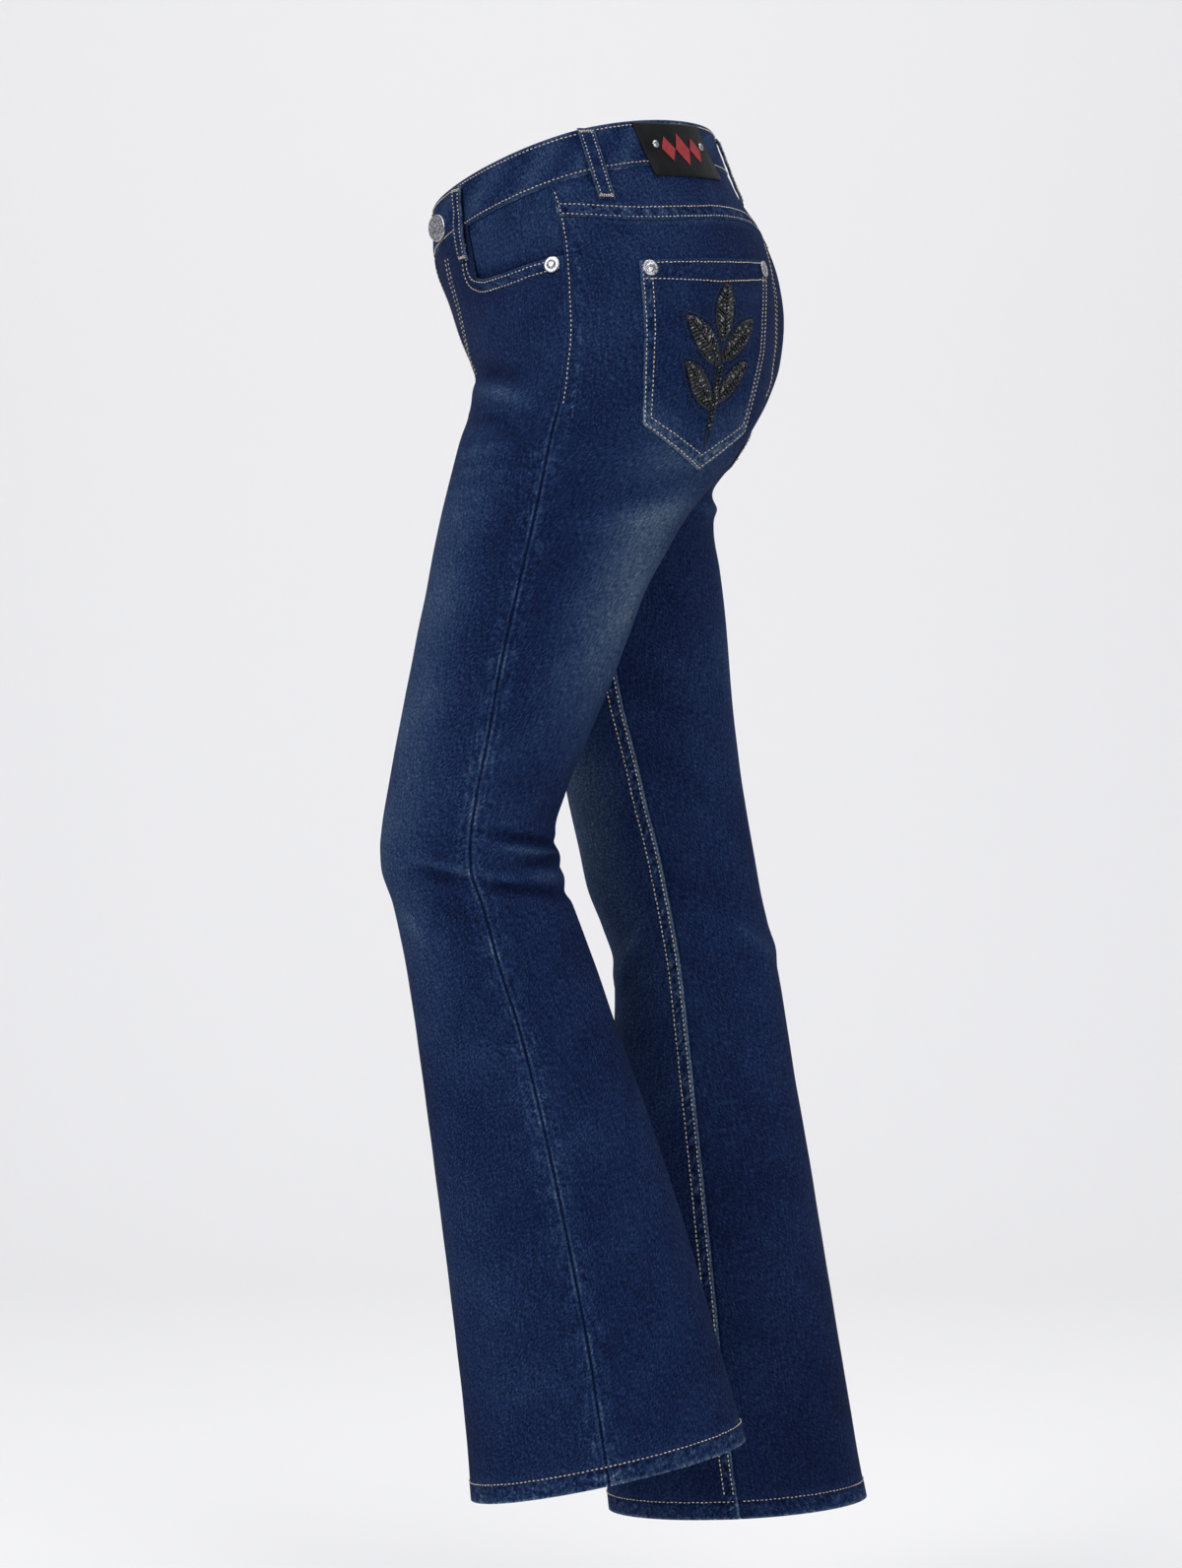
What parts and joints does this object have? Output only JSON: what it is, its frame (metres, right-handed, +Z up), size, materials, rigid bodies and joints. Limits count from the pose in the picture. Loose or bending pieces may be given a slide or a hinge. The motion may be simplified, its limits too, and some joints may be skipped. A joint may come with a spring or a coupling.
{
  "type": "jeans",
  "caption": "Flared low-waist jeans in a walking pose, held up by the wearer, with patch pockets, yoke, belt loops, leather patch and beaded pocket appliques.",
  "frame": {"origin": "the middle of the waist opening, on the line between the front and back of its top edge", "axes": "+X is the wearer's left, -Y the front, +Z up"},
  "size_m": [0.3334, 0.3719, 1.0615],
  "materials": {
    "denim": "dark indigo twill, worn pale on thighs and seams",
    "zip_tape": "woven tape",
    "leather": "black grained",
    "beads": "black glass beads on black felt",
    "steel": "bright nickel"
  },
  "bodies": {
    "root": {"front_left": "denim", "front_right": "denim", "back_left": "denim", "back_right": "denim", "yoke_left": "denim", "yoke_right": "denim", "waistband": "denim", "pocket_facing_left": "denim", "pocket_facing_right": "denim", "back_pocket_left": "denim", "back_pocket_right": "denim", "fly_shield": "denim", "belt_loop_front_left": "denim", "belt_loop_side_left": "denim", "belt_loop_front_right": "denim", "belt_loop_side_right": "denim", "belt_loop_back": "denim", "zip_tape": "zip_tape", "leather_patch": "leather", "applique_left": "beads", "applique_right": "beads", "rivet_front_left": "steel", "rivet_front_right": "steel", "rivet_back_side_left": "steel", "rivet_back_centre_left": "steel", "rivet_back_side_right": "steel", "rivet_back_centre_right": "steel", "patch_stud_side": "steel", "patch_stud_centre": "steel", "waist_button": "steel", "zip_slider": "steel"}
  },
  "joints": []
}
